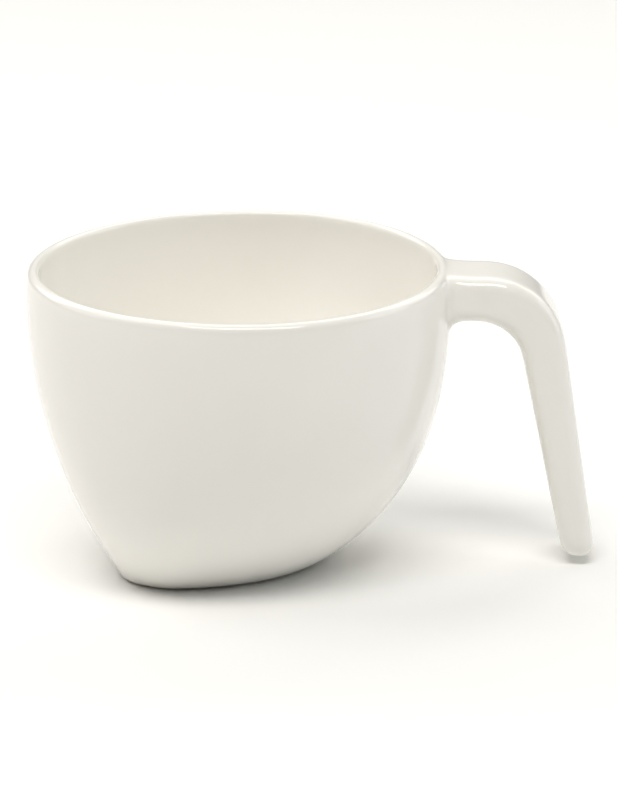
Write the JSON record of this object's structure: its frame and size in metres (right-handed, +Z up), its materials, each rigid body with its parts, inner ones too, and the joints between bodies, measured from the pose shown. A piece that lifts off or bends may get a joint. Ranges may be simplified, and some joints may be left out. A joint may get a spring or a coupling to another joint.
{
  "type": "shaving mug",
  "caption": "Wide glazed white porcelain mug with a small offset foot and a flat strap handle that hangs from the rim and ends free.",
  "frame": {"origin": "on the flat foot, in the plane it rests on, straight below the middle of the rim", "axes": "+X from the cup toward the handle, +Y to the back, +Z up out of the open top"},
  "size_m": [0.1427, 0.106, 0.077],
  "materials": {
    "glaze": "clear warm white glaze, glossy",
    "porcelain": "fired unglazed body, fine and matte",
    "slip": "fired slip, matte"
  },
  "bodies": {
    "root": {"bowl": "porcelain", "handle": "porcelain", "handle_slip": "slip", "glaze": "glaze"}
  },
  "joints": []
}
